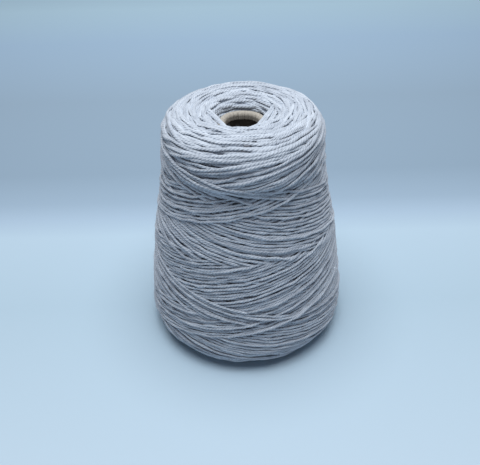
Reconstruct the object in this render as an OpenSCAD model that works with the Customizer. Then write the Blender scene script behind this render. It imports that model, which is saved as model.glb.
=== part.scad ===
// Cross-wound cone of thick soft yarn: a rolled-nose paper cone that carries a tapered package of
// yarn. The yarn's inner layers are one plain core; its outermost layer is one unbroken strand that
// spirals over the top face and then criss-crosses down and up the side.
// Millimetres, +Z up. The origin is on the axis, in the plane of the cone's base.

/* [Paper cone] */
// Length of the cone, from its base to the top of its nose
cone_len = 175; // [165:1:180]
// Outside diameter of the cone at its base
cone_base_d = 70; // [60:0.5:76]
// Outside diameter of the nose
nose_d = 35.4; // [30:0.1:40]
// Thickness of the paper wall
cone_wall = 2.2; // [1.2:0.1:3]
// Thickness of the rim that is rolled in at the nose
nose_roll = 5.4; // [4:0.1:7]

/* [Yarn package] */
// Height of the wound yarn
wound_h = 180; // [172:1:200]
// How far the cone's base stands below the yarn
foot = 5; // [3:0.5:8]
// Diameter of the package at its widest, just above its lower edge
package_base_d = 156.4; // [140:0.2:170]
// Diameter of the package at its top shoulder
package_top_d = 115.2; // [105:0.2:135]
// Radius of the rounded lower edge
base_round = 16.2; // [12:0.2:20]
// Radius of the rounded top shoulder
shoulder_round = 15.6; // [12:0.2:20]
// How far the side swells past a straight taper
belly = 1; // [0:0.1:3]
// Diameter of the hollow that the yarn leaves around the nose
hollow_d = 43; // [41:0.5:48]
// Depth of that hollow below the top face
hollow_depth = 22; // [16:1:30]
// Radius of the soft edge between the hollow and the top face
rim_round = 4; // [2:0.5:6]

/* [Winding] */
// Diameter of the yarn
yarn_d = 2.6; // [2:0.1:3]
// Space left between two strands that cross
cross_gap = 0.5; // [0.45:0.05:0.8]
// Space left between the outer strand and the core
seat_gap = 0.2; // [0.1:0.05:0.4]
// Number of runs down the side, evenly spaced around the package
runs_down = 8; // [5, 7, 8]
// Turns of the flat spiral on the top face
top_turns = 4.3; // [2:0.1:4.3]
// Distance from the edge of the hollow to the first turn on the top face
top_margin = 6.5; // [5:0.5:8]
// How far round the shoulder each run starts, above the side
top_reversal = 45; // [35:1:55]
// How far round the lower edge each run turns back, below the widest place
base_reversal = 50; // [35:1:60]
// Share of its way down that the last run covers before the cut end
last_run = 0.73; // [0.4:0.01:0.95]
// Direction in which the cut end lies, counted from the front towards +X
end_azimuth = 0; // [-180:5:180]

/* [Hidden] */
$fn = 96;

paper_colour = [0.56, 0.54, 0.50];
yarn_colour = [0.70, 0.74, 0.80];
winding_colour = [0.76, 0.80, 0.86];

ring_step = 15;
ring_sides = 6;
rings_a_turn = 360 / ring_step;
gap_points = 12;
arc_steps = 10;
side_steps = 12;

// The paper wall: its outside runs straight from the base to the widest place of the rolled rim
roll_z = cone_len - nose_roll / 2;
roll_r = (nose_d - nose_roll) / 2;
cone_taper = (cone_base_d - nose_d) / 2 / roll_z;
function cone_r(z) = cone_base_d / 2 - z * cone_taper;

// The package's outline is a lower arc, a straight side that leans inwards, a shoulder arc and a flat
// top face. Places on it are counted along it, from the outer edge of the bottom face.
base_centre = [package_base_d / 2 - base_round, foot + base_round];
top_z = foot + wound_h;
shoulder_centre = [package_top_d / 2 - shoulder_round, top_z - shoulder_round];
span = shoulder_centre - base_centre;
lean = atan2(-span[0], span[1]) + asin((base_round - shoulder_round) / norm(span));
side_len = sqrt(norm(span) ^ 2 - (base_round - shoulder_round) ^ 2);
function arc_length(radius, angle) = radius * angle * PI / 180;
function arc_angle(radius, length) = length / radius * 180 / PI;
side_start = arc_length(base_round, 90 + lean);
side_end = side_start + side_len;
face_start = side_end + arc_length(shoulder_round, 90 - lean);
face_end = face_start + shoulder_centre[0] - hollow_d / 2;

function polar(angle) = [cos(angle), sin(angle)];

// Direction of the outward normal at a place on the outline
function facing(place) =
    place < side_start ? arc_angle(base_round, place) - 90
    : place < side_end ? lean
    : place < face_start ? lean + arc_angle(shoulder_round, place - side_end)
    : 90;

// The point [r, z] that lies a given depth under a place on the outline
function under(place, depth) =
    place < side_start ? base_centre + (base_round - depth) * polar(facing(place))
    : place < side_end ? base_centre
        + (base_round - depth + belly * sin(180 * (place - side_start) / side_len)) * polar(lean)
        + (place - side_start) * polar(lean + 90)
    : place < face_start ? shoulder_centre + (shoulder_round - depth) * polar(facing(place))
    : [shoulder_centre[0] - (place - face_start), top_z - depth];

// Depths of the strand's two levels on the side: runs down lie outside, runs up lie inside. Chords
// between the rings dip below the round surface, which the core makes room for.
outer_depth = yarn_d / 2;
chord_share = cos(ring_step / 2);
inner_depth = outer_depth + (yarn_d + cross_gap) / chord_share;
chord_dip = package_base_d / 2 * (1 - chord_share);
side_core_depth = inner_depth + yarn_d / 2 + seat_gap + chord_dip;
face_core_depth = outer_depth + yarn_d / 2 + seat_gap;

// The strand's route, in degrees of turning: a flat spiral, a link over to the shoulder, then runs
// down and up the side. The length of a run spreads the runs evenly around the package.
top_place = side_end + arc_length(shoulder_round, top_reversal - lean);
base_place = arc_length(base_round, 90 - base_reversal);
first_place = face_end - top_margin;
link_turn = 45;
link_rise = yarn_d + cross_gap + 1;
spiral_turn = 360 * top_turns;
run_turn = 360 + 180 * ceil((runs_down + 1) / 2) / runs_down;
runs_turn = run_turn * (2 * runs_down - 2 + last_run);
rings = floor((spiral_turn + link_turn + runs_turn) / ring_step) + 1;
start_azimuth = end_azimuth - 90 - (rings - 1) * ring_step;

function turned(ring) = ring * ring_step;
function run_part(ring) = (turned(ring) - spiral_turn - link_turn) / run_turn;
function run_place(part) =
    let (along = part - 2 * floor(part / 2))
    top_place - (top_place - base_place) * (along < 1 ? along : 2 - along);
function strand_place(ring) =
    turned(ring) < spiral_turn
    ? first_place + (top_place + link_rise - first_place) * turned(ring) / spiral_turn
    : run_part(ring) < 0
    ? top_place - link_rise * run_part(ring) * run_turn / link_turn
    : run_place(run_part(ring));
function strand_depth(ring) =
    let (along = run_part(ring) - 2 * floor(run_part(ring) / 2))
    run_part(ring) <= 0 || (along > 0 && along < 1) ? outer_depth
    : along > 1 ? inner_depth
    : (outer_depth + inner_depth) / 2;

function azimuth(ring) = start_azimuth + turned(ring);
function spun(point, angle) = [point[0] * cos(angle), point[0] * sin(angle), point[1]];
function unit(v) = v / norm(v);

strand_points = [for (ring = [0:rings - 1])
    spun(under(strand_place(ring), strand_depth(ring)), azimuth(ring))];
function strand_heading(ring) =
    unit(strand_points[min(ring + 1, rings - 1)] - strand_points[max(ring - 1, 0)]);
function strand_up(ring) =
    let (heading = strand_heading(ring),
         normal = spun(polar(facing(strand_place(ring))), azimuth(ring)))
    unit(normal - (normal * heading) * heading);

// Distance from a point to the stretch of strand that starts at a ring
function to_stretch(point, ring) =
    let (a = strand_points[ring],
         along = strand_points[ring + 1] - a,
         share = max(0, min(1, (point - a) * along / (along * along))))
    norm(point - a - share * along);

// Least gap between stretches of the strand that lie in the same sector of the package
strand_gap = function () min([for (sector = [0:rings_a_turn - 1])
    let (stretches = [for (ring = [sector:rings_a_turn:rings - 2]) ring])
    for (one = stretches)
    for (other = stretches)
    if (one != other)
    for (part = [0:gap_points])
        to_stretch(strand_points[one]
            + (strand_points[one + 1] - strand_points[one]) * part / gap_points, other)]) - yarn_d;

module paper_cone() {
    color(paper_colour) union() {
        rotate_extrude()
            polygon([
                [cone_base_d / 2 - cone_wall, 0],
                [cone_base_d / 2, 0],
                [nose_d / 2, roll_z],
                [nose_d / 2 - cone_wall, roll_z]
            ]);
        translate([0, 0, roll_z])
            rotate_extrude()
                translate([roll_r, 0])
                    circle(d = nose_roll);
    }
}

// Half section of the core, anticlockwise from its lower inner corner, where it sits on the cone
hollow_z = top_z - face_core_depth - hollow_depth;
step_angle = top_reversal + 15;
core_section = concat(
    [[cone_r(foot), foot], [base_centre[0] * 0.8, foot]],
    [for (k = [0:arc_steps])
        under(base_place / 2 + (side_start - base_place / 2) * k / arc_steps, side_core_depth)],
    [for (k = [1:side_steps - 1])
        under(side_start + side_len * k / side_steps, side_core_depth)],
    [for (k = [0:arc_steps])
        under(side_end + arc_length(shoulder_round, step_angle - lean) * k / arc_steps, side_core_depth)],
    [[shoulder_centre[0] - yarn_d, top_z - face_core_depth]],
    [for (k = [0:arc_steps])
        [hollow_d / 2 + rim_round, top_z - face_core_depth - rim_round]
        + rim_round * polar(90 + 80 * k / arc_steps)],
    [[cone_r(hollow_z), hollow_z]]
);

module yarn_body() {
    color(yarn_colour)
        rotate_extrude()
            polygon(core_section);
}

module outer_winding() {
    echo(strand_turns = (rings - 1) / rings_a_turn);
    echo(strand_least_gap = strand_gap());
    corners = [for (ring = [0:rings - 1])
        let (up = strand_up(ring), across = cross(strand_heading(ring), up))
        for (side = [0:ring_sides - 1])
            strand_points[ring]
            + yarn_d / 2 * (cos(side * 360 / ring_sides) * across + sin(side * 360 / ring_sides) * up)];
    walls = [for (ring = [0:rings - 2])
        for (side = [0:ring_sides - 1])
        let (here = ring * ring_sides + side,
             next = ring * ring_sides + (side + 1) % ring_sides)
        for (face = [[here, here + ring_sides, next], [next, here + ring_sides, next + ring_sides]])
            face];
    first_cap = [for (side = [1:ring_sides - 2]) [0, side, side + 1]];
    last = (rings - 1) * ring_sides;
    last_cap = [for (side = [1:ring_sides - 2]) [last, last + side + 1, last + side]];
    color(winding_colour)
        polyhedron(points = corners, faces = concat(walls, first_cap, last_cap));
}

paper_cone();
yarn_body();
outer_winding();
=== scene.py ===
"""A cone of thick, soft, cross-wound yarn on a rolled-nose paper cone.

The yarn is laid in the order in which a winder lays it. Each strand slips into the grooves between
the strands that are already there, is pulled taut over them, and then raises a height field. The
field lies on the package's outline, over azimuth (degrees, 0 at the front, +90 at +X) and place (a
distance along the half section, from the cone below, round the side, to the hollow at the top).
Lengths are in millimetres until a mesh is made, which is in metres.
"""
import math

import bpy
import numpy as np
from mathutils import Matrix


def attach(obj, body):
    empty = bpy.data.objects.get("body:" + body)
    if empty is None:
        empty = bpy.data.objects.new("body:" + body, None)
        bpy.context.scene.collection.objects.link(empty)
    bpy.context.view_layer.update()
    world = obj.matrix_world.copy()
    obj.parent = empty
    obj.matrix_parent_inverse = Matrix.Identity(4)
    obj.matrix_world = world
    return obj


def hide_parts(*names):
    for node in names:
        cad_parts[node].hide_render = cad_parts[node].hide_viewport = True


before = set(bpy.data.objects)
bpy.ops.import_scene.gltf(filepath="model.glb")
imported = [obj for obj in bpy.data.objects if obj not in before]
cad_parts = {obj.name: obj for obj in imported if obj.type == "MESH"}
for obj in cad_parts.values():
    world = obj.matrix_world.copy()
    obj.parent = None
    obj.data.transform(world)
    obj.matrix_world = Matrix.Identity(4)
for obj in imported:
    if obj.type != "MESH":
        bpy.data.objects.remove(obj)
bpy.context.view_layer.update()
rng = np.random.default_rng(7)
MM = 0.001

# ---------------------------------------------------------------- camera
# Fitted to the outline in the photograph; the angles are in degrees.

CAMERA_PLACE = (0.0, -0.3808, 0.366)
CAMERA_DOWN = 37.2
CAMERA_LEFT = 0.61
CAMERA_ROLL = 1.75
LENS_MM = 45.0
SENSOR_MM = 36.0


def make_camera():
    data = bpy.data.cameras.new("camera")
    data.lens = LENS_MM
    data.sensor_width = SENSOR_MM
    camera = bpy.data.objects.new("camera", data)
    bpy.context.collection.objects.link(camera)
    turn = Matrix.Rotation(math.radians(CAMERA_LEFT), 4, "Z")
    tilt = Matrix.Rotation(math.radians(90 - CAMERA_DOWN), 4, "X")
    roll = Matrix.Rotation(math.radians(-CAMERA_ROLL), 4, "Z")
    camera.matrix_world = Matrix.Translation(CAMERA_PLACE) @ turn @ tilt @ roll
    bpy.context.scene.camera = camera


# ---------------------------------------------------------------- sizes

YARN_D = 1.75  # before the plies, the slubs and the flattening
YARN_R = YARN_D / 2
WOUND_H = 180.0
FOOT = 5.0
TOP_Z = FOOT + WOUND_H
PACKAGE_BASE_R = 78.2
PACKAGE_TOP_R = 57.2
BASE_ROUND = 16.2
SHOULDER_ROUND = 16.8
SIDE_SWELL = [0.0, 1.1, 0.9, 1.4, -0.6, -1.2, -0.6]  # past a straight side, from below to above
BOTTOM_DISH = 3.0  # how far the bottom face rises to the cone
DISH_WIDTH = 8.0
CONE_LEN = 175.0
CONE_BASE_R = 35.0
NOSE_R = 17.7
NOSE_ROLL_R = 2.7
CONE_WALL = 2.2
NOSE_Z = CONE_LEN - NOSE_ROLL_R
# Radii and heights down the hollow round the nose
FUNNEL = [[31.5, 184.4], [25.6, 183], [21.8, 180.2], [19.9, 176.5], [18.9, 170], [18.3, 163]]


def cone_r(z):
    """Outside radius of the paper cone at a height."""
    return CONE_BASE_R - z * (CONE_BASE_R - NOSE_R) / NOSE_Z


# ---------------------------------------------------------------- outline of the package

CELL_MM = 0.5
CELL_DEG = 0.5
COLUMNS = int(360 / CELL_DEG)
OUTLINE_SMOOTHING_MM = 2.5
ROUND_POINTS = 16
SIDE_POINTS = 60
CONE_GAP = 0.5
FACING = 0.7  # least share of the normal along an axis for a place to count as facing that way


def arc(centre, radius, start, end, count):
    """Points on an arc, between two angles in degrees."""
    angle = np.radians(np.linspace(start, end, count))
    return np.stack([centre[0] + radius * np.cos(angle), centre[1] + radius * np.sin(angle)], 1)


def smooth(values, width, ends="even"):
    """Gaussian smoothing along the first axis, with the ends mirrored."""
    reach = int(math.ceil(3 * width))
    kernel = np.exp(-0.5 * (np.arange(-reach, reach + 1) / width) ** 2)
    kernel /= kernel.sum()
    margins = [(reach, reach)] + [(0, 0)] * (values.ndim - 1)
    padded = np.pad(values, margins, mode="reflect", reflect_type=ends)
    flat = padded.reshape(len(padded), -1)
    done = [np.convolve(flat[:, k], kernel, mode="valid") for k in range(flat.shape[1])]
    return np.stack(done, 1).reshape(values.shape)


def outline_points():
    """Half section of the yarn: bottom face, lower edge, side, shoulder, top face, funnel."""
    base_centre = np.array([PACKAGE_BASE_R - BASE_ROUND, FOOT + BASE_ROUND])
    shoulder_centre = np.array([PACKAGE_TOP_R - SHOULDER_ROUND, TOP_Z - SHOULDER_ROUND])
    span = base_centre - shoulder_centre
    lean = math.degrees(math.atan2(span[0] + BASE_ROUND - SHOULDER_ROUND, -span[1]))
    start = arc(base_centre, BASE_ROUND, lean, lean, 1)[0]
    end = arc(shoulder_centre, SHOULDER_ROUND, lean, lean, 1)[0]
    rise = np.linspace(0, 1, SIDE_POINTS)
    side = start + rise[:, None] * (end - start)
    side[:, 0] += np.interp(rise, np.linspace(0, 1, len(SIDE_SWELL)), SIDE_SWELL)
    foot_r = cone_r(FOOT)
    return np.concatenate([
        [[foot_r + CONE_GAP, FOOT + BOTTOM_DISH], [foot_r + DISH_WIDTH, FOOT + BOTTOM_DISH / 3]],
        arc(base_centre, BASE_ROUND, -90, lean, ROUND_POINTS),
        side[1:-1],
        arc(shoulder_centre, SHOULDER_ROUND, lean, 90, ROUND_POINTS),
        FUNNEL,
    ])


def tabulate_outline():
    """Places every CELL_MM along the outline; radius, height, normal and curvature at each."""
    points = outline_points()
    along = np.concatenate([[0], np.cumsum(np.hypot(*np.diff(points, axis=0).T))])
    places = np.arange(0, along[-1], CELL_MM)
    table = np.stack([np.interp(places, along, points[:, k]) for k in (0, 1)], 1)
    table = smooth(table, OUTLINE_SMOOTHING_MM / CELL_MM, "odd")
    heading = np.gradient(table, axis=0)
    heading /= np.linalg.norm(heading, axis=1)[:, None]
    bend = np.gradient(np.unwrap(np.arctan2(heading[:, 1], heading[:, 0])), CELL_MM)
    return places, np.column_stack([table, heading[:, 1], -heading[:, 0], bend])


RADIUS, HEIGHT, OUTWARD, UPWARD = range(4)
PLACES, OUTLINE = tabulate_outline()
ROWS = len(PLACES)
LAST_PLACE = PLACES[-1]


def outline_at(place):
    """Radius, height, normal (outward, up) and curvature of the half section at places on it."""
    return [np.interp(place, PLACES, column) for column in OUTLINE.T]


def place_on_top(radius):
    """Place at which the top face has a radius."""
    top = OUTLINE[:, UPWARD] > FACING
    return np.interp(-np.asarray(radius, float), -OUTLINE[top, RADIUS], PLACES[top])


def place_on_bottom(radius):
    """Place at which the bottom face has a radius."""
    bottom = OUTLINE[:, UPWARD] < -FACING
    return np.interp(radius, OUTLINE[bottom, RADIUS], PLACES[bottom])


def place_on_side(z):
    """Place at which the side has a height."""
    side = OUTLINE[:, OUTWARD] > FACING
    return np.interp(z, OUTLINE[side, HEIGHT], PLACES[side])


# ---------------------------------------------------------------- laying yarn
# Counts without a unit are counts of points, which lie STEP_MM apart on a route.

STEP_MM = 1.2
CHUNK = 120
LOOK_AHEAD = 50
SETTLE_MM = 5.0
SETTLE_EVERY_MM = 1600.0
SETTLE_LEAST_R = 12
LEAST_R = 5
PRESS = 0.72  # how deep strands sink into each other: 1 is not at all
SAG = 0.3  # how far a taut strand gives way to what lies under it
SAG_WIDTH = 3
SAG_SHORTEST = 20
LEAST_CURVE = 1 / 50
SLIPS = np.linspace(-1.2, 1.2, 7)
SLIP_SOFTNESS = 0.12
SLIP_SMOOTHING = 6
SLIP_FADE = 8
SLIP_SHORTEST = 30
FEEL = np.linspace(-0.9, 0.9, 7) * YARN_R
FEEL_RISE = np.sqrt(YARN_R ** 2 - FEEL ** 2) * PRESS
FILL = np.linspace(-1, 1, 9) * YARN_R
FILL_RISE = np.sqrt(np.maximum(YARN_R ** 2 - FILL ** 2, 0))
FILL_FINER = 3
SEEN_WIDTH = 1.2
SEEN_DEPTH = 1.1
SEEN_MARGIN = 9


def cells(turn, place):
    """Row and column of the field at a place and an azimuth."""
    rows = np.clip(np.rint(place / CELL_MM).astype(int), 0, ROWS - 1)
    return rows, np.rint(turn / CELL_DEG).astype(int) % COLUMNS


def even(turn, place):
    """The same route with its points STEP_MM apart."""
    radius = outline_at(place)[0]
    ahead = np.radians(np.diff(turn)) * (radius[1:] + radius[:-1]) / 2
    along = np.concatenate([[0], np.cumsum(np.hypot(ahead, np.diff(place)))])
    places = np.arange(0, along[-1], STEP_MM)
    return np.interp(places, along, turn), np.interp(places, along, place)


def parts_of_heading(turn, place):
    """A route's steps round the package and along the outline, in millimetres."""
    radius = np.maximum(outline_at(place)[0], LEAST_R)
    return np.radians(np.gradient(turn)) * radius, np.gradient(place), radius


def sideways(turn, place):
    """Azimuth (degrees) and place (mm) of one millimetre to a strand's side."""
    ahead, up, radius = parts_of_heading(turn, place)
    size = np.hypot(ahead, up) + 1e-9
    return -np.degrees(up / size / radius), ahead / size


def concave_cover(values):
    """The least concave line over a row of values: a taut string over its supports."""
    row = values.tolist()
    keep = [0]
    for k in range(1, len(row)):
        while len(keep) > 1:
            a, b = keep[-2], keep[-1]
            if (row[b] - row[a]) * (k - a) > (row[k] - row[a]) * (b - a):
                break
            keep.pop()
        keep.append(k)
    return np.interp(np.arange(len(row)), keep, values[keep])


def taut_over(needed, turn, place):
    """Heights of a taut strand that clears the needed heights on the package's curved surface."""
    ahead, up, radius = parts_of_heading(turn, place)
    _, _, outward, _, bend = outline_at(place)
    share = ahead ** 2 / (ahead ** 2 + up ** 2 + 1e-9)
    curve = np.maximum(share * outward / radius + (1 - share) * bend, LEAST_CURVE)
    dip = np.cumsum(np.cumsum(curve)) * STEP_MM ** 2
    return concave_cover(needed - dip) + dip


class Strand:
    """One length of yarn: its route, and the height of its middle over the outline."""

    def __init__(self, turn, place, group, radius=None):
        self.turn = turn.copy()
        self.place = place.copy()
        self.height = np.zeros(len(turn))
        self.group = group
        self.radius = radius
        self.laid = 0


class Package:
    """The strands that are laid so far, and the height field of their tops."""

    def __init__(self):
        self.field = np.zeros((ROWS, COLUMNS))
        self.strands = []
        self.since_settling = 0.0

    def resting(self, turn, place):
        """Least height at which a strand's middle clears the field."""
        side_turn, side_place = sideways(turn, place)
        levels = [self.field[cells(turn + side_turn * across, place + side_place * across)] + rise
                  for across, rise in zip(FEEL, FEEL_RISE)]
        return np.max(levels, axis=0)

    def slip(self, turn, place, before):
        """How far a strand slips sideways into the grooves along its route, in millimetres."""
        side_turn, side_place = sideways(turn, place)
        levels = np.array([smooth(self.resting(turn + side_turn * slip, place + side_place * slip),
                                  SLIP_SMOOTHING) for slip in SLIPS])
        weights = np.exp((levels.min(axis=0) - levels) / SLIP_SOFTNESS)
        slip = smooth((weights * SLIPS[:, None]).sum(0) / weights.sum(0), SLIP_SMOOTHING)
        return slip + (before - slip) * np.exp(-np.arange(len(turn)) / SLIP_FADE)

    def press(self, turn, place, height):
        """Raises the field to the top of a strand."""
        fine = np.linspace(0, len(turn) - 1, len(turn) * FILL_FINER)
        coarse = np.arange(len(turn))
        turn, place, height = (np.interp(fine, coarse, row) for row in (turn, place, height))
        side_turn, side_place = sideways(turn, place)
        for across, rise in zip(FILL, FILL_RISE):
            where = cells(turn + side_turn * across, place + side_place * across)
            np.maximum.at(self.field, where, height + rise)

    def blurred(self):
        """The field smoothed over SETTLE_MM; it wraps round in azimuth."""
        rows = smooth(self.field, SETTLE_MM / CELL_MM)
        width = np.degrees(SETTLE_MM / np.maximum(OUTLINE[:, RADIUS], SETTLE_LEAST_R)) / CELL_DEG
        wave = np.exp(-2 * (np.pi * width[:, None] * np.fft.rfftfreq(COLUMNS)) ** 2)
        return np.fft.irfft(np.fft.rfft(rows, axis=1) * wave, COLUMNS, axis=1)

    def settle(self):
        """Presses all that is laid back onto the outline, apart from what is small and local."""
        rise = self.blurred()
        self.field -= rise
        for strand in self.strands:
            laid = slice(0, strand.laid)
            strand.height[laid] -= rise[cells(strand.turn[laid], strand.place[laid])]
        self.since_settling = 0.0

    def lay_part(self, strand, start, stop, slip):
        """Lays the points from start to stop, looking ahead; gives the slip at the last of them."""
        first = max(start - 1, 0)
        ahead = slice(first, min(stop + LOOK_AHEAD, len(strand.turn)))
        fresh = slice(start - first, stop - first)
        turn, place = strand.turn[ahead].copy(), strand.place[ahead].copy()
        if start:
            turn[0], place[0] = strand.came_from
        if stop - first > SLIP_SHORTEST and strand.radius is None:
            slips = self.slip(turn, place, slip)
            side_turn, side_place = sideways(turn, place)
            turn, place = turn + side_turn * slips, place + side_place * slips
            slip = slips[stop - first - 1]
        strand.came_from = strand.turn[stop - 1], strand.place[stop - 1]
        needed = self.resting(turn, place)
        if start:
            needed[0] = strand.height[first]
        height = taut_over(needed, turn, place)
        if len(needed) > SAG_SHORTEST:
            height -= SAG * (height - smooth(needed, SAG_WIDTH))
        strand.turn[start:stop] = turn[fresh]
        strand.place[start:stop] = place[fresh]
        strand.height[start:stop] = height[fresh]
        return slip

    def lay(self, strand, held=None):
        """Lays a strand; where it isn't held by the yarn below it, it leaves the field alone."""
        self.strands.append(strand)
        slip = 0.0
        for start in range(0, len(strand.turn), CHUNK):
            stop = min(start + CHUNK, len(strand.turn))
            slip = self.lay_part(strand, start, stop, slip)
            for part in held or [slice(start, stop)]:
                self.press(strand.turn[part], strand.place[part], strand.height[part])
            strand.laid = stop
            self.since_settling += (stop - start) * STEP_MM
            if self.since_settling > SETTLE_EVERY_MM:
                self.settle()

    def seen(self, strand):
        """Which points of a strand show, or nearly show, between those laid over it."""
        side_turn, side_place = sideways(strand.turn, strand.place)
        seen = np.zeros(len(strand.turn), bool)
        for across in FILL * SEEN_WIDTH:
            where = cells(strand.turn + side_turn * across, strand.place + side_place * across)
            seen |= self.field[where] < strand.height + SEEN_DEPTH * YARN_R
        if strand.radius is not None:
            seen |= strand.radius < HOLLOW_EDGE
        return np.convolve(seen, np.ones(SEEN_MARGIN), mode="same") > 0


# ---------------------------------------------------------------- routes of the yarn

GOLDEN_TURN = 137.5
ARC_JITTER = 8.0
ARC_HALF_TURN = 100
ARC_BEND = 25
ARC_POINTS = 80
PLACE_JITTER = 0.6
TOP_ARCS = 600
TOP_START_R = 24.5
TOP_DRIFT = (0.04, 0.16)
SHOULDER_END_Z = 171.0
RIM_ARCS = 70
RIM_R = 24
RIM_END_R = 28
FUNNEL_ARCS = 190
FUNNEL_START = 4
FUNNEL_DRIFT = (0.02, 0.08)
BOTTOM_ARCS = 150
BOTTOM_R = (38, 68)
BOTTOM_DRIFT = (-0.12, -0.03)
TOP_MARGIN = 3
BOTTOM_MARGIN = 1

# The hole's straight edges: the direction each faces (degrees) and its distance from the axis
HOLE_CHORDS = {
    "left": (-65, 16.6),
    "front_left": (-21.5, 21.9),
    "front_right": (35, 18.8),
    "right": (69, 14.5),
}
CHORD_STEP = 1.8
CHORD_SWING = 140.0
CHORD_JITTER = 3.5
CHORD_UNEVEN = 0.45
CHORD_DRIFT = (0.14, 0.2)
CHORD_POINTS = 400
HOLLOW_EDGE = 23.5
MOST_GRAZING = 0.99
FAR = 100.0

# The side's last layers: pairs of runs up and down, of RUN_TURN degrees each, which shift round the
# package a little from one to the next
RUN_TURN = 720.0
SHIFT_TURN = 7.7
DOUBLE_RUNS = 116
RUN_POINTS = 500
TOP_REVERSAL = place_on_side(172.0)
BASE_REVERSAL = place_on_side(10.0)
TOP_EASING = 0.26
BASE_EASING = 0.07
LEAST_SPEED = 0.04
TOP_SLIP = 4.5
TOP_SLIP_REACH = 0.18
RUN_DRIFT = 1.3
DRIFT_RUNS = 4
DRIFT_GAIN = 3
TURN_JITTER = 2.0
STRAY_SHARE = 0.24
STRAY_MM = 7.0
WANDER_MM = 0.42
WANDER_GAIN = 1.6
WANDER_POINTS = 45
WANDER_SMOOTHING = 0.8
END_TURN = 0.0
END_Z = 60.0


def wind_arc(package, middle, azimuth, drift, group):
    """A reversal on an end face: nearest the axis at its middle, drifting outwards to both ends."""
    swing = np.linspace(-ARC_HALF_TURN, ARC_HALF_TURN, ARC_POINTS)
    away = drift * (np.sqrt(swing ** 2 + ARC_BEND ** 2) - ARC_BEND)
    turn, place = even(azimuth + swing, middle - away)
    package.lay(Strand(turn, place, group))


def wind_arcs(package, start, end, count, drift, group):
    """Reversals whose middles go from one place to another, spread round the package."""
    least = TOP_MARGIN if drift[0] > 0 else BOTTOM_MARGIN
    for k in range(count):
        middle = start + (end - start) * k / count + rng.normal(0, PLACE_JITTER)
        azimuth = k * GOLDEN_TURN + rng.normal(0, ARC_JITTER)
        inside = np.clip(middle, least, LAST_PLACE - TOP_MARGIN)
        wind_arc(package, inside, azimuth, rng.uniform(*drift), group)


def wind_chord(package, facing, distance, drift):
    """A reversal that is pulled straight over the hollow, at a distance from the axis."""
    leaves = math.degrees(math.acos(min(distance / HOLLOW_EDGE, MOST_GRAZING)))
    swing = np.linspace(-leaves - CHORD_SWING, leaves + CHORD_SWING, CHORD_POINTS)
    beyond = np.maximum(np.abs(swing) - leaves, 0)
    place = place_on_top(HOLLOW_EDGE + drift * beyond)
    turn, place = even(facing + swing, place)
    away = np.radians(np.minimum(np.abs(turn - facing), leaves))
    free = np.flatnonzero(np.abs(turn - facing) < leaves)
    radius = np.where(np.abs(turn - facing) < leaves, distance / np.cos(away), FAR)
    held = [slice(0, free[0] + 1), slice(free[-1], len(turn))]
    package.lay(Strand(turn, place, "top_face_turns", radius), held)


def wind_hole_edges(package):
    """The straight edges of the hole: strands side by side, the nearest to the axis last."""
    for facing, distance in HOLE_CHORDS.values():
        count = int((HOLLOW_EDGE - distance - YARN_R) / CHORD_STEP) + 1
        for k in range(count - 1, -1, -1):
            turned = facing + rng.normal(0, CHORD_JITTER)
            apart = k * CHORD_STEP + CHORD_UNEVEN * abs(rng.normal())
            wind_chord(package, turned, distance + YARN_R + apart, rng.uniform(*CHORD_DRIFT))


def wind_top(package):
    """The funnel round the nose, its rim, the hole's edges and the top face, in that order."""
    group = "top_face_turns"
    rim = place_on_top(RIM_R)
    wind_arcs(package, LAST_PLACE - FUNNEL_START, rim, FUNNEL_ARCS, FUNNEL_DRIFT, group)
    wind_arcs(package, rim, place_on_top(RIM_END_R), RIM_ARCS, TOP_DRIFT, group)
    wind_hole_edges(package)
    start, end = place_on_top(TOP_START_R), place_on_side(SHOULDER_END_Z)
    wind_arcs(package, start, end, TOP_ARCS, TOP_DRIFT, group)


def wind_bottom(package):
    """The bottom face."""
    start, end = (place_on_bottom(radius) for radius in BOTTOM_R)
    wind_arcs(package, start, end, BOTTOM_ARCS, BOTTOM_DRIFT, "base_face_turns")


def run_shape():
    """Share of the way up a run against share of its turning; slower near both reversals."""
    share = np.linspace(0, 1, RUN_POINTS)
    speed = np.minimum(1, share / BASE_EASING + LEAST_SPEED)
    speed *= np.minimum(1, (1 - share) / TOP_EASING + LEAST_SPEED)
    way = np.concatenate([[0], np.cumsum((speed[1:] + speed[:-1]) / 2)])
    return way / way[-1]


def wander(count):
    """Slow random drift of a strand to its sides."""
    knots = rng.normal(0, WANDER_MM * WANDER_GAIN, int(count / WANDER_POINTS) + 4)
    knots = smooth(knots, WANDER_SMOOTHING)
    return np.interp(np.arange(count) / WANDER_POINTS, np.arange(len(knots)), knots)


def side_route():
    """Azimuth and place along the unbroken strand of the side's last layers, up to its cut end."""
    share = np.linspace(0, 1, RUN_POINTS)
    even_way = BASE_REVERSAL + (TOP_REVERSAL - BASE_REVERSAL) * run_shape()
    near_top = np.exp(-((1 - share) / TOP_SLIP_REACH) ** 2)
    drift = smooth(rng.normal(0, RUN_DRIFT * DRIFT_GAIN, DOUBLE_RUNS), DRIFT_RUNS)
    turns, places, turn = [], [], 0.0
    for k in range(DOUBLE_RUNS):
        slip = rng.normal(0, TOP_SLIP)
        for direction in (1, -1):
            stray = rng.normal(0, STRAY_MM) if rng.random() < STRAY_SHARE else 0.0
            way = even_way + slip * near_top + stray * np.sin(np.pi * share) + drift[k]
            spread = RUN_TURN + SHIFT_TURN / 2 + rng.normal(0, TURN_JITTER)
            turns.append(turn + np.linspace(0, spread, RUN_POINTS)[1:])
            places.append(way[::direction][1:])
            turn += spread
    turns, places = np.concatenate(turns), np.concatenate(places)
    last_run = len(places) - RUN_POINTS + 1
    last = last_run + int(np.argmax(places[last_run:] < place_on_side(END_Z)))
    return turns[:last] - turns[last - 1] + END_TURN, places[:last] + wander(last)


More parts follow.
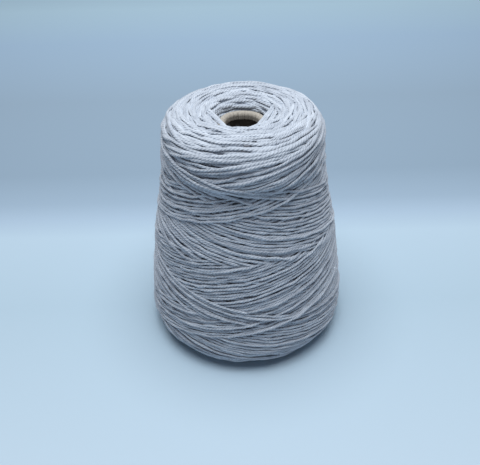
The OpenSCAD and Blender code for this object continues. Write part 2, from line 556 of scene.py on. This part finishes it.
def wind_side(package):
    """The criss-cross of the side, which lies over all the rest."""
    turn, place = even(*side_route())
    package.lay(Strand(turn, place, "side_winding"))


# ---------------------------------------------------------------- strands in space

HEIGHT_SMOOTHING = 2.2
# Heights over the outline are scaled by a relief, which goes by how far the surface faces outward,
# and lowered by a sunk depth, which goes by place
SIDE_RELIEF = 0.74
TOP_RELIEF = 0.4
STEEPNESS = (0.9, 0.99)
SUNK_PLACES = (*place_on_side([14, 19, 148, 172]),)
SUNK = (-0.3, 0.6, 0.6, -0.3)
OFF_CENTRE = 1.5
OFF_CENTRE_R = (26, 36)
BULGE_PLACES = (*place_on_side([149, 157, 165, 172]), place_on_top(44))
BULGE = (0.0, 4.6, 3.7, 2.5, 0.0)
# Small waves of a strand: to its sides, and up and down
SWAY = 0.38
SWAY_MM = 7.0
RISE = 0.14
RISE_MM = 5.0
CHORD_SAG = (-0.5, 1.3)
CHORD_SMOOTHING = 2
TAIL_LIFT = 0.9
TAIL_MM = 25.0


def off_centre(radius, z):
    """How far the hollow at the top lies in front of the axis."""
    return OFF_CENTRE * np.interp(radius, OFF_CENTRE_R, (1, 0)) * (z > WOUND_H / 2)


def front_bulge(turn, place):
    """How far the shoulder swells at the front, where the last reversals lie on each other."""
    return np.maximum(np.cos(np.radians(turn)), 0) ** 2 * np.interp(place, BULGE_PLACES, BULGE)


def space_points(turn, place, height):
    """Points, in metres, and outward normals over places on the outline."""
    radius, z, outward, up, _ = outline_at(place)
    angle = np.radians(turn) - np.pi / 2
    relief = np.interp(outward, STEEPNESS, (TOP_RELIEF, SIDE_RELIEF))
    sunk = np.interp(place, SUNK_PLACES, SUNK)
    away = (height + YARN_R) * relief - YARN_R - sunk
    out = radius + outward * away + front_bulge(turn, place)
    across, back = out * np.cos(angle), out * np.sin(angle) - off_centre(radius, z)
    points = np.stack([across, back, z + up * away], 1) * MM
    slope = front_bulge(turn, place + 1) - front_bulge(turn, place - 1)
    facing_out, facing_up = outward + slope * up / 2, up - slope * outward / 2
    normals = np.stack([facing_out * np.cos(angle), facing_out * np.sin(angle), facing_up], 1)
    return points, normals


def strand_points(strand):
    """A strand in space; a chord's free part hangs between the places that hold it."""
    along = np.arange(len(strand.turn)) * STEP_MM
    height = smooth(strand.height, HEIGHT_SMOOTHING) + slow_noise(along, RISE_MM, RISE)
    if strand.group == "side_winding":
        height += TAIL_LIFT * np.exp((along - along[-1]) / TAIL_MM)
    side_turn, side_place = sideways(strand.turn, strand.place)
    sway = slow_noise(along, SWAY_MM, SWAY)
    turn, place = strand.turn + side_turn * sway, strand.place + side_place * sway
    points, normals = space_points(turn, place, height)
    if strand.radius is None or strand.radius.min() >= HOLLOW_EDGE:
        return points, normals
    free = np.flatnonzero(strand.radius < HOLLOW_EDGE)
    angle = np.radians(strand.turn[free]) - np.pi / 2
    points[free, 0] = strand.radius[free] * MM * np.cos(angle)
    points[free, 1] = (strand.radius[free] * np.sin(angle) - OFF_CENTRE) * MM
    over = np.linspace(0, 1, len(free))
    points[free, 2] = np.interp(over, (0, 1), points[[free[0] - 1, free[-1] + 1], 2])
    points[free, 2] -= rng.uniform(*CHORD_SAG) * MM * np.sin(np.pi * over)
    normals[free] = (0, 0, 1)
    return smooth(points, CHORD_SMOOTHING, "odd"), normals


# ---------------------------------------------------------------- meshes of strands

SIDES = 10
PLIES = 3
LAY_MM = 8.0
PLY_DEPTH = 0.16
PLY_MEAN = 1.2
SLUB = 0.16
SLUB_MM = 4.0
FLAT = 0.84
# Widths of a strand, against how far the package's surface faces up or down
WIDE_STEEPNESS = (0.15, 0.4, 0.93, 1.0)
WIDE = (1.02, 1.22, 1.22, 1.05)
FUZZINESS = 0.38  # how far the normals of a strand turn to those of the package
END_TAPER = 0.6
# Tints, in shares of the yarn's normal variation: slow, short, and at the cut end
TINT = 0.5
TINT_MM = 40.0
MOTTLE = 1.1
MOTTLE_MM = 3.2
TIP_TINT = 4.0
TIP_POINTS = 3
BAKE_MAP = "OFBake"
BAKE_MARGIN = 0.05
LEAST_POINTS = 8
MOST_POINTS = 9000


def unit(vectors):
    """The same directions with length 1."""
    return vectors / (np.linalg.norm(vectors, axis=-1, keepdims=True) + 1e-12)


def slow_noise(along, period, size):
    """Smooth random values along a strand."""
    knots = rng.normal(0, size, int(along[-1] / period) + 3)
    return smooth(np.interp(along / period, np.arange(len(knots)), knots), period / STEP_MM / 4)


def strand_rings(points, normals, along, phase):
    """Corners and soft normals of a strand's rings: twisted plies, pressed a little flat."""
    heading = unit(np.gradient(points, axis=0))
    up = unit(normals - (normals * heading).sum(1)[:, None] * heading)
    side = np.cross(heading, up)
    around = np.arange(SIDES) / SIDES * 2 * np.pi
    twist = 2 * np.pi * (along / LAY_MM + phase)
    lobes = 2 * np.abs(np.cos(PLIES / 2 * (around[None] - twist[:, None]))) - PLY_MEAN
    slubs = (1 + slow_noise(along, SLUB_MM, SLUB))[:, None]
    size = YARN_R * MM * (1 + PLY_DEPTH * lobes) * slubs
    size[[0, -1]] *= END_TAPER
    wide = np.interp(np.abs(normals[:, 2]), WIDE_STEEPNESS, WIDE)[:, None, None]
    across = np.cos(around)[None, :, None] * side[:, None]
    outwards = np.sin(around)[None, :, None] * up[:, None]
    corners = points[:, None] + size[..., None] * (across * wide + outwards * FLAT)
    return corners, unit((1 - FUZZINESS) * (across + outwards) + FUZZINESS * up[:, None])


class StrandMesh:
    """Gathers closed strands into one mesh, with the yarn's own UVs and a tint."""

    def __init__(self, name):
        self.name = name
        self.corners, self.normals, self.origins, self.tints = [], [], [], []
        self.faces, self.cap_faces = [], []
        self.uvs, self.cap_uvs = [], []
        self.count = 0

    def add(self, points, normals, cut_end):
        along = np.arange(len(points)) * STEP_MM
        phase = rng.random()
        corners, soft = strand_rings(points, normals, along, phase)
        self.corners.append(corners.reshape(-1, 3))
        self.normals.append(soft.reshape(-1, 3))
        self.origins.append(np.repeat(unit(normals), SIDES, 0))
        self.add_tint(along, cut_end)
        self.add_faces(len(points))
        self.add_strand_uvs(along, phase)
        self.count += len(points) * SIDES

    def add_tint(self, along, cut_end):
        tint = rng.normal(0, 1) + slow_noise(along, TINT_MM, TINT)
        tint = tint + slow_noise(along, MOTTLE_MM, MOTTLE)
        if cut_end:
            tint[-TIP_POINTS:] += TIP_TINT
        self.tints.append(np.repeat(tint, SIDES))

    def add_faces(self, rings):
        here = np.arange(SIDES)
        after = (here + 1) % SIDES
        row = self.count + np.arange(rings - 1)[:, None] * SIDES
        faces = np.stack([row + here, row + SIDES + here, row + SIDES + after, row + after], -1)
        self.faces.append(faces.reshape(-1, 4))
        last = self.count + (rings - 1) * SIDES
        self.cap_faces += [self.count + here, last + here[::-1]]

    def add_strand_uvs(self, along, phase):
        """U runs along the strand in millimetres, V round it with its twist."""
        here = np.arange(SIDES)
        lag = (along / LAY_MM + phase)[:, None]
        low, high = here / SIDES - lag, (here + 1) / SIDES - lag
        u = np.broadcast_to(along[:, None], low.shape)
        corners = [(u[:-1], low[:-1]), (u[1:], low[1:]), (u[1:], high[1:]), (u[:-1], high[:-1])]
        self.uvs.append(np.stack([np.stack(pair, -1) for pair in corners], 2).reshape(-1, 2))
        for end in (0, along[-1]):
            self.cap_uvs.append(np.stack([here * 0 + end, here / SIDES], 1))

    def build(self):
        mesh = bpy.data.meshes.new(self.name)
        quads, caps = np.concatenate(self.faces), np.concatenate(self.cap_faces)
        cap_starts = quads.size + np.arange(len(self.cap_faces)) * SIDES
        starts = np.concatenate([np.arange(len(quads)) * 4, cap_starts])
        loops = np.concatenate([quads.ravel(), caps])
        mesh.vertices.add(self.count)
        mesh.vertices.foreach_set("co", np.concatenate(self.corners).ravel().astype(np.float32))
        mesh.loops.add(len(loops))
        mesh.loops.foreach_set("vertex_index", loops.astype(np.int32))
        mesh.polygons.add(len(starts))
        mesh.polygons.foreach_set("loop_start", starts.astype(np.int32))
        mesh.update(calc_edges=True)
        mesh.polygons.foreach_set("use_smooth", np.ones(len(starts), bool))
        add_uvs(mesh, "Yarn", np.concatenate(self.uvs + self.cap_uvs))
        flat = flat_uvs(len(quads) // SIDES, SIDES, STEP_MM, YARN_D * math.pi)
        add_uvs(mesh, BAKE_MAP, np.concatenate([flat, np.zeros((caps.size, 2))]))
        tint = mesh.attributes.new("tint", "FLOAT", "POINT")
        tint.data.foreach_set("value", np.concatenate(self.tints).astype(np.float32))
        mesh.normals_split_custom_set_from_vertices(np.concatenate(self.normals))
        return link(bpy.data.objects.new(self.name, mesh))


def add_uvs(mesh, name, uvs):
    mesh.uv_layers.new(name=name).data.foreach_set("uv", uvs.ravel().astype(np.float32))


def flat_uvs(rings, sides, ring_size, row_size):
    """Every ring of faces in a place of its own on the unit square, in rows."""
    columns = int(math.ceil(math.sqrt(rings * row_size / ring_size)))
    rows = int(math.ceil(rings / columns))
    ring, side = np.arange(rings)[:, None], np.arange(sides)[None]
    u = np.broadcast_to(ring % columns, (rings, sides)) / columns
    v = (ring // columns + BAKE_MARGIN + (1 - 2 * BAKE_MARGIN) * side / sides) / rows
    du, dv = 1 / columns, (1 - 2 * BAKE_MARGIN) / sides / rows
    corners = [(u, v), (u + du, v), (u + du, v + dv), (u, v + dv)]
    return np.stack([np.stack(corner, -1) for corner in corners], 2).reshape(-1, 2)


def link(piece):
    bpy.context.collection.objects.link(piece)
    return piece


def stretches(seen):
    """Start and stop of each stretch of points that shows."""
    edges = np.flatnonzero(np.diff(np.concatenate([[0], seen.astype(int), [0]])))
    return [(a, b) for a, b in zip(edges[::2], edges[1::2]) if b - a >= LEAST_POINTS]


def build_strands(package):
    """One piece per group of strands, or several where a group is long."""
    meshes = []
    open_mesh = {}
    for strand in package.strands:
        points, normals = strand_points(strand)
        for start, stop in stretches(package.seen(strand)):
            mesh = open_mesh.get(strand.group)
            if mesh is None or mesh.count > MOST_POINTS * SIDES:
                number = sum(m.name.startswith(strand.group) for m in meshes) + 1
                mesh = StrandMesh("%s_%02d" % (strand.group, number))
                open_mesh[strand.group] = mesh
                meshes.append(mesh)
            cut_end = strand.group == "side_winding" and stop == len(points)
            mesh.add(points[start:stop], normals[start:stop], cut_end)
    return meshes


# ---------------------------------------------------------------- loose fibres and older layers

HAIRS = 7500
HAIR_MM = (1.2, 4.5)
HAIR_R = 0.035
HAIR_TAPER = 0.7
HAIR_POINTS = 5
HAIR_SIDES = 3
HAIR_FACING = 0.35
HAIR_SPREAD = 0.8
HAIR_CURL = 0.7
HAIR_FALL = 0.6
OFF_AXIS = 0.01  # turns a fibre's side vector off its heading where the two would be parallel


def hair_roots(meshes):
    """Random corners of the strands that face out of the package, their normals and its own."""
    corners = np.concatenate([part for mesh in meshes for part in mesh.corners])
    facing = np.concatenate([part for mesh in meshes for part in mesh.normals])
    outward = np.concatenate([part for mesh in meshes for part in mesh.origins])
    on_show = (facing * outward).sum(1) > HAIR_FACING
    open_sides = np.flatnonzero(on_show & (corners[:, 2] > (FOOT + HAIR_MM[1]) * MM))
    root = rng.choice(open_sides, HAIRS)
    return corners[root], facing[root], outward[root]


def hair_points(root, facing, outward):
    """Corners of thin tapered tubes that leave their roots and curl back over the yarn."""
    start = unit(facing + rng.normal(0, HAIR_SPREAD, (HAIRS, 3)))
    curl = rng.normal(0, HAIR_CURL, (HAIRS, 3)) - HAIR_FALL * outward
    along = np.linspace(0, 1, HAIR_POINTS)[:, None, None]
    size = rng.uniform(*HAIR_MM, (HAIRS, 1)) * MM
    middle = root + size * (along * start + along ** 2 * curl / 2)
    heading = unit(start + along * curl)
    side = unit(np.cross(heading, outward + OFF_AXIS))
    up = np.cross(side, heading)
    angle = (np.arange(HAIR_SIDES) / HAIR_SIDES * 2 * np.pi)[:, None, None, None]
    thick = HAIR_R * MM * (1 - HAIR_TAPER * along)
    ring = middle + thick * (np.cos(angle) * side + np.sin(angle) * up)
    return ring.transpose(2, 1, 0, 3).reshape(-1, 3)


def build_loose_fibres(meshes):
    """Fine fibres that stand out of the yarn and curl over it."""
    points = hair_points(*hair_roots(meshes))
    hair = (np.arange(HAIRS) * HAIR_POINTS * HAIR_SIDES)[:, None, None]
    row = (np.arange(HAIR_POINTS - 1) * HAIR_SIDES)[:, None] + hair
    here = np.arange(HAIR_SIDES)
    after = (here + 1) % HAIR_SIDES
    faces = [row + here, row + after, row + HAIR_SIDES + after, row + HAIR_SIDES + here]
    mesh = bpy.data.meshes.new("loose_fibres")
    mesh.from_pydata(points, [], np.stack(faces, -1).reshape(-1, 4))
    mesh.polygons.foreach_set("use_smooth", np.ones(len(mesh.polygons), bool))
    add_uvs(mesh, BAKE_MAP, flat_uvs(HAIRS * (HAIR_POINTS - 1), HAIR_SIDES, 1.0, 1.0))
    return link(bpy.data.objects.new("loose_fibres", mesh))


UNDER_DEPTH = 6.5
UNDER_DEG = 3.0
UNDER_MM = 2.0


def build_under_surface():
    """The older layers, which close the view between the strands."""
    turns = np.arange(0, 360, UNDER_DEG)
    places = np.arange(0, LAST_PLACE, UNDER_MM)
    turn, place = np.meshgrid(turns, places)
    depth = np.full(turn.size, -UNDER_DEPTH)
    points, _ = space_points(turn.ravel(), place.ravel(), depth)
    count = len(turns)
    faces = [(row + c, row + (c + 1) % count, row + count + (c + 1) % count, row + count + c)
             for row in range(0, (len(places) - 1) * count, count) for c in range(count)]
    mesh = bpy.data.meshes.new("inner_layers")
    mesh.from_pydata(points.tolist(), [], faces)
    mesh.polygons.foreach_set("use_smooth", np.ones(len(faces), bool))
    return link(bpy.data.objects.new("inner_layers", mesh))


# ---------------------------------------------------------------- paper cone

CONE_COLUMNS = 480
OUTSIDE_POINTS = 30
ROLL_POINTS = 40
FLAP_POINTS = 16
BORE_POINTS = 40
EDGE_ROUND = 0.5
OUTSIDE_TOP_Z = NOSE_Z - 2
BORE_TOP_Z = NOSE_Z - 1
BORE_TOP_R = NOSE_R - CONE_WALL - 0.3
FLAP_MM = 2.4
# The turned-in end of the rim hangs this far from the bead: radius past it, height over its end
FLAP_HEM = ((0.0, 0.0), (0.4, -0.5), (1.2, 0.0))
CRIMPS = 64
CRIMP_MM = 0.28
FINE_CRIMPS = 0.7
CRIMP_START = 0.25
CRIMP_REACH = 0.35
RIM_WAVES = 6
RIM_WAVE_MM = 0.25
RIM_RISES = 5
RIM_RISE_MM = 0.18
SEAM_TURN = 150.0
SEAM_MM = 0.35
BOARD_V = 0.01  # V of the board's UVs for each millimetre of the section


def ring_noise(waves, size):
    """Random values round a ring, with about so many waves."""
    orders = np.arange(max(1, waves // 3), waves)
    angle = np.arange(CONE_COLUMNS) / CONE_COLUMNS * 2 * np.pi
    sizes = rng.normal(0, 1, len(orders)) / np.sqrt(len(orders))
    phases = rng.uniform(0, 2 * np.pi, len(orders))
    return size * (sizes[:, None] * np.cos(orders[:, None] * angle + phases[:, None])).sum(0)


def cone_section():
    """Half section of the cone, up its outside, round the rolled rim, down its bore and back.

    Beside each point is how far it lies along the rim: 0 before it, 0 to 1 on it, 2 after it.
    """
    outside_z = np.linspace(EDGE_ROUND, OUTSIDE_TOP_Z, OUTSIDE_POINTS)
    outside = np.stack([cone_r(outside_z), outside_z], 1)
    roll = arc((NOSE_R - NOSE_ROLL_R, NOSE_Z), NOSE_ROLL_R, 0, 180, ROLL_POINTS)
    flap_end = np.array([NOSE_R - 2 * NOSE_ROLL_R, NOSE_Z - FLAP_MM])
    flap_z = np.linspace(NOSE_Z, flap_end[1], FLAP_POINTS + 2)[1:-1]
    flap = np.stack([np.full(FLAP_POINTS, flap_end[0]), flap_z], 1)
    under_roll = [[BORE_TOP_R, NOSE_Z]]
    rim = np.concatenate([roll, flap, flap_end + np.array(FLAP_HEM), under_roll])
    bore_z = np.linspace(BORE_TOP_Z, EDGE_ROUND, BORE_POINTS)
    bore = np.stack([cone_r(bore_z) - CONE_WALL, bore_z], 1)
    foot_r = cone_r(0) - np.array([CONE_WALL - EDGE_ROUND, CONE_WALL / 2, EDGE_ROUND])
    inside = np.concatenate([bore, np.stack([foot_r, np.zeros(3)], 1)])
    along_rim = [np.zeros(len(outside)), np.linspace(0, 1, len(rim)), np.full(len(inside), 2)]
    return np.concatenate([outside, rim, inside]), np.concatenate(along_rim)


def cone_points(section, along_rim):
    """The section turned round, with a crimped and slightly wavy rim and a wrap seam outside."""
    angle = np.arange(CONE_COLUMNS) / CONE_COLUMNS * 2 * np.pi
    radius = np.repeat(section[:, :1], CONE_COLUMNS, 1)
    height = np.repeat(section[:, 1:], CONE_COLUMNS, 1)
    on_rim = (along_rim > 0) & (along_rim <= 1)
    turned_in = on_rim * np.clip((along_rim - CRIMP_START) / CRIMP_REACH, 0, 1)
    crimps = ring_noise(CRIMPS, CRIMP_MM) + ring_noise(CRIMPS * 2, CRIMP_MM * FINE_CRIMPS)
    radius += turned_in[:, None] * crimps + on_rim[:, None] * ring_noise(RIM_WAVES, RIM_WAVE_MM)
    height += on_rim[:, None] * ring_noise(RIM_RISES, RIM_RISE_MM)
    wrapped = ((angle - math.radians(SEAM_TURN)) / (2 * np.pi)) % 1
    radius += (along_rim == 0)[:, None] * SEAM_MM * (wrapped - 0.5)
    points = np.stack([radius * np.cos(angle), radius * np.sin(angle), height], -1)
    return points.reshape(-1, 3) * MM


def ring_uvs(low, high):
    """UVs of rows of faces round a ring: U by column, V from low to high in each row."""
    columns = np.arange(CONE_COLUMNS)[:, None] + np.array([0, 1, 1, 0])
    v = np.stack([low, low, high, high], 1)
    pair = np.broadcast_arrays(columns[None] / CONE_COLUMNS, v[:, None])
    return np.stack(pair, -1).reshape(-1, 2)


def build_cone():
    """The paper cone: its section closed round the axis, with UVs for the board and for baking."""
    section, along_rim = cone_section()
    rows = np.arange(len(section))
    row = rows[:, None] * CONE_COLUMNS
    after = (rows[:, None] + 1) % len(section) * CONE_COLUMNS
    here = np.arange(CONE_COLUMNS)
    right = (here + 1) % CONE_COLUMNS
    faces = np.stack([row + here, row + right, after + right, after + here], -1).reshape(-1, 4)
    mesh = bpy.data.meshes.new("rolled_paper_cone")
    mesh.from_pydata(cone_points(section, along_rim).tolist(), [], faces.tolist())
    mesh.polygons.foreach_set("use_smooth", np.ones(len(faces), bool))
    along = np.concatenate([[0], np.cumsum(np.hypot(*np.diff(section, axis=0).T))])
    add_uvs(mesh, "Board", ring_uvs(along * BOARD_V, np.roll(along, -1) * BOARD_V))
    add_uvs(mesh, BAKE_MAP, ring_uvs(rows / len(rows), (rows + 1) / len(rows)))
    return link(bpy.data.objects.new("rolled_paper_cone", mesh))


# ---------------------------------------------------------------- materials

YARN_DARK = (0.36, 0.414, 0.494, 1)
YARN_LIGHT = (0.541, 0.612, 0.706, 1)
BOARD_DARK = (0.235, 0.217, 0.191, 1)
BOARD_LIGHT = (0.487, 0.47, 0.426, 1)
# Colour of the bore: painted shade, darker than the board because the deep bore lies in shade
BORE_PAINTED_SHADE = (0.24, 0.22, 0.2, 1)
# Colours of the older layers under the strands: the yarn painted darker, as painted shade of the
# layers above it
DEEP_SHADED_DARK = (0.16, 0.17, 0.2, 1)
DEEP_SHADED_LIGHT = (0.34, 0.36, 0.41, 1)
# Grains: how much finer a noise is along and across the strand, and across the board
FIBRE_GRAIN = (0.25, 16.0, 1.0)
FLUFF_GRAIN = (1.1, 5.0, 1.0)
DEEP_GRAIN = (60.0, 60.0, 700.0)
BOARD_GRAIN = (150.0, 9.0, 1.0)
# Shares of each cause in the yarn's tone, which is 0 for the dark and 1 for the light colour; the
# ply and groove shares are painted shade, darker in the grooves between the plies
MIDDLE_TONE = 0.5
TINT_TONE = 0.17
FIBRE_TONE = 0.9
FLUFF_TONE = 0.5
PLY_SHADE_TONE = 0.2
GROOVE_SHADE_TONE = 0.15
BOARD_SPECKS = 0.7
BOARD_TONES = (0.28, 0.75)
BORE_V = (1.845, 1.885)  # where the rim's board turns into the darker bore
YARN_BUMP = 0.001
YARN_BUMP_SHARES = {"fibres": 0.2, "fluff": 0.2, "ply": 0.3}
BOARD_BUMP = 0.0003
BOARD_SPECK_BUMP = 0.4


class Nodes:
    """Short calls that add nodes to a material and link them."""

    def __init__(self, name):
        self.material = bpy.data.materials.new(name)
        self.material.use_nodes = True
        self.tree = self.material.node_tree
        self.shader = self.tree.nodes["Principled BSDF"]

    def add(self, kind, inputs=None, **settings):
        node = self.tree.nodes.new("ShaderNode" + kind)
        for key, value in settings.items():
            setattr(node, key, value)
        for key, value in (inputs or {}).items():
            self.put(value, node.inputs[key])
        return node

    def put(self, value, socket):
        if isinstance(value, bpy.types.NodeSocket):
            self.tree.links.new(value, socket)
        else:
            socket.default_value = value

    def set(self, **inputs):
        for key, value in inputs.items():
            self.put(value, self.shader.inputs[key.replace("_", " ")])

    def math(self, operation, a, b=0.0, c=0.0):
        return self.add("Math", {0: a, 1: b, 2: c}, operation=operation).outputs[0]

    def vary(self, value, size, base):
        """A base that is changed by a value which lies around one half."""
        return self.math("MULTIPLY_ADD", self.math("SUBTRACT", value, 0.5), size, base)

    def mix(self, share, a, b):
        """A colour between two; the Mix node's colour sockets are inputs 6 and 7 and output 2."""
        node = self.add("Mix", data_type="RGBA")
        self.put(share, node.inputs[0])
        self.put(a, node.inputs[6])
        self.put(b, node.inputs[7])
        return node.outputs[2]

    def stretch(self, vector, scale):
        return self.add("VectorMath", {0: vector, 1: scale}, operation="MULTIPLY").outputs[0]

    def noise(self, vector, scale=1.0, detail=2.0, roughness=0.5):
        inputs = {"Vector": vector, "Scale": scale, "Detail": detail, "Roughness": roughness}
        return self.add("TexNoise", inputs).outputs["Fac"]

    def ramp(self, value, low, high):
        inputs = {"Value": value, "From Min": low, "From Max": high}
        return self.add("MapRange", inputs, clamp=True).outputs[0]

    def bump(self, height, distance):
        inputs = {"Height": height, "Distance": distance, "Strength": 1.0}
        return self.add("Bump", inputs).outputs[0]


def yarn_material():
    """Soft, matt, combed yarn: fine fibres along the plies, a slow change of tone, and painted
    shade in the grooves between the plies.
    """
    nodes = Nodes("soft_yarn")
    uv = nodes.add("UVMap", uv_map="Yarn").outputs[0]
    tint = nodes.add("Attribute", attribute_name="tint").outputs["Fac"]
    fibres = nodes.noise(nodes.stretch(uv, FIBRE_GRAIN), detail=4.0, roughness=0.65)
    fluff = nodes.noise(nodes.stretch(uv, FLUFF_GRAIN), detail=3.0, roughness=0.6)
    around = nodes.add("SeparateXYZ", {0: uv}).outputs[1]
    turned = nodes.math("MULTIPLY", around, math.pi * PLIES)
    ply = nodes.math("ABSOLUTE", nodes.math("COSINE", turned))
    tone = nodes.math("MULTIPLY_ADD", tint, TINT_TONE, MIDDLE_TONE)
    tone = nodes.vary(fibres, FIBRE_TONE, tone)
    tone = nodes.vary(fluff, FLUFF_TONE, tone)
    # painted shade: the tone drops in the grooves between the plies and comes back on their ridges
    groove_shaded = nodes.math("SUBTRACT", tone, GROOVE_SHADE_TONE)
    tone = nodes.math("MULTIPLY_ADD", nodes.ramp(ply, 0.0, 0.5), PLY_SHADE_TONE, groove_shaded)
    colour = nodes.mix(nodes.ramp(tone, 0.0, 1.0), YARN_DARK, YARN_LIGHT)
    shares = YARN_BUMP_SHARES
    height = nodes.math("MULTIPLY", fibres, shares["fibres"])
    height = nodes.math("MULTIPLY_ADD", fluff, shares["fluff"], height)
    height = nodes.math("MULTIPLY_ADD", ply, shares["ply"], height)
    nodes.set(Base_Color=colour, Roughness=0.95, Normal=nodes.bump(height, YARN_BUMP))
    nodes.set(Specular_IOR_Level=0.12, Sheen_Weight=0.3, Sheen_Roughness=0.5)
    return nodes.material


def fibre_material():
    """Pale single fibres, a little lighter and darker along the package."""
    nodes = Nodes("loose_fibre")
    place = nodes.add("TexCoord").outputs["Object"]
    tone = nodes.noise(place, scale=400.0, detail=2.0)
    nodes.set(Base_Color=nodes.mix(tone, YARN_DARK, YARN_LIGHT), Roughness=0.9)
    nodes.set(Specular_IOR_Level=0.1, Sheen_Weight=0.3, Sheen_Roughness=0.5)
    return nodes.material


def deep_yarn_material():
    """The same yarn, painted darker than the rest: painted shade of the layers above it."""
    nodes = Nodes("deep_yarn")
    place = nodes.add("TexCoord").outputs["Object"]
    streaks = nodes.noise(nodes.stretch(place, DEEP_GRAIN), detail=3.0, roughness=0.6)
    colour = nodes.mix(streaks, DEEP_SHADED_DARK, DEEP_SHADED_LIGHT)
    nodes.set(Base_Color=colour, Roughness=0.95, Normal=nodes.bump(streaks, YARN_BUMP))
    nodes.set(Specular_IOR_Level=0.1)
    return nodes.material


def board_material():
    """Grey-beige paper board with fibres across the rolled rim, and a bore painted darker as the
    shade inside it.
    """
    nodes = Nodes("paper_board")
    uv = nodes.add("UVMap", uv_map="Board").outputs[0]
    place = nodes.add("TexCoord").outputs["Object"]
    streaks = nodes.noise(nodes.stretch(uv, BOARD_GRAIN), detail=4.0, roughness=0.7)
    specks = nodes.noise(place, scale=900.0, detail=3.0, roughness=0.7)
    tone = nodes.vary(specks, BOARD_SPECKS, streaks)
    board = nodes.mix(nodes.ramp(tone, *BOARD_TONES), BOARD_DARK, BOARD_LIGHT)
    along = nodes.add("SeparateXYZ", {0: uv}).outputs[1]
    # painted shade: the board turns into the darker bore colour down the inside
    colour = nodes.mix(nodes.ramp(along, *BORE_V), board, BORE_PAINTED_SHADE)
    height = nodes.math("MULTIPLY_ADD", specks, BOARD_SPECK_BUMP, streaks)
    nodes.set(Base_Color=colour, Roughness=0.9, Normal=nodes.bump(height, BOARD_BUMP))
    nodes.set(Specular_IOR_Level=0.2)
    return nodes.material


# ---------------------------------------------------------------- stage and light

# Colours of the floor and the backdrop that it runs into, by distance behind the object in metres;
# their changes are painted light and shade, darker near and just behind the object and bright far
# off
FLOOR_LIGHT_AND_SHADE_STOPS = {
    -0.200: (0.449, 0.574, 0.686),
    0.000: (0.391, 0.526, 0.636),
    0.100: (0.435, 0.577, 0.699),
    0.132: (0.374, 0.501, 0.637),
    0.160: (0.313, 0.428, 0.551),
    0.220: (0.271, 0.377, 0.488),
    0.420: (0.314, 0.436, 0.562),
    0.660: (0.431, 0.614, 0.810),
    0.850: (0.579, 0.826, 1.000),
}
FLOOR_NEAR = -0.25
FLOOR_FAR = 0.9
FLOOR_HALF = 4.0
LAMP_PLACE = (0.0, -0.09, 1.25)
LAMP_SIZE = 1.0
LAMP_WATTS = 18.9
SKY_COLOUR = (0.95, 0.94, 1.0, 1)
SKY_STRENGTH = 0.2


def floor_material():
    """Pale blue paper with painted light and shade: darker and bluer behind the object, bright far
    off.
    """
    nodes = Nodes("floor_paper")
    place = nodes.add("TexCoord").outputs["Object"]
    back = nodes.add("SeparateXYZ", {0: place}).outputs[1]
    # painted light and shade: the floor's colour changes with distance behind the object
    ramp = nodes.add("ValToRGB", {0: nodes.ramp(back, FLOOR_NEAR, FLOOR_FAR)})
    stops = ramp.color_ramp.elements
    while len(stops) < len(FLOOR_LIGHT_AND_SHADE_STOPS):
        stops.new(0.5)
    for stop, (y, colour) in zip(stops, sorted(FLOOR_LIGHT_AND_SHADE_STOPS.items())):
        stop.position = (y - FLOOR_NEAR) / (FLOOR_FAR - FLOOR_NEAR)
        stop.color = (*colour, 1)
    nodes.set(Base_Color=ramp.outputs[0], Roughness=0.9, Specular_IOR_Level=0.2)
    return nodes.material


def make_stage():
    """A floor that fills the picture; its far part has a backdrop's colours with painted light and
    shade.
    """
    mesh = bpy.data.meshes.new("floor")
    corners = [(-1, -1), (1, -1), (1, 1), (-1, 1)]
    mesh.from_pydata([(FLOOR_HALF * x, FLOOR_HALF * y, 0) for x, y in corners], [], [range(4)])
    mesh.materials.append(floor_material())
    link(bpy.data.objects.new("floor", mesh))


def make_light():
    """One wide lamp over the object, aimed at its foot, and an even, dim sky."""
    data = bpy.data.lights.new("overhead", "AREA")
    data.shape = "DISK"
    data.size = LAMP_SIZE
    data.energy = LAMP_WATTS
    lamp = link(bpy.data.objects.new("overhead", data))
    lamp.location = LAMP_PLACE
    lamp.rotation_euler = (math.atan2(LAMP_PLACE[1], LAMP_PLACE[2]), 0, 0)
    world = bpy.data.worlds.new("world")
    world.use_nodes = True
    sky = world.node_tree.nodes["Background"]
    sky.inputs["Color"].default_value = SKY_COLOUR
    sky.inputs["Strength"].default_value = SKY_STRENGTH
    bpy.context.scene.world = world
    bpy.context.scene.view_settings.view_transform = "Standard"


# ---------------------------------------------------------------- the object


def add_piece(piece, material, slot, *stands_for):
    piece.data.materials.append(material)
    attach(piece, "root")
    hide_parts(*stands_for)


def wind_package():
    package = Package()
    wind_bottom(package)
    wind_top(package)
    wind_side(package)
    package.settle()
    return package


def make_object():
    yarn = yarn_material()
    strands = build_strands(wind_package())
    for strand_mesh in strands:
        add_piece(strand_mesh.build(), yarn, "yarn", "outer_winding")
    add_piece(build_loose_fibres(strands), fibre_material(), "yarn", "outer_winding")
    add_piece(build_under_surface(), deep_yarn_material(), "yarn", "yarn_body")
    add_piece(build_cone(), board_material(), "paper", "paper_cone")


make_camera()
make_object()
make_stage()
make_light()
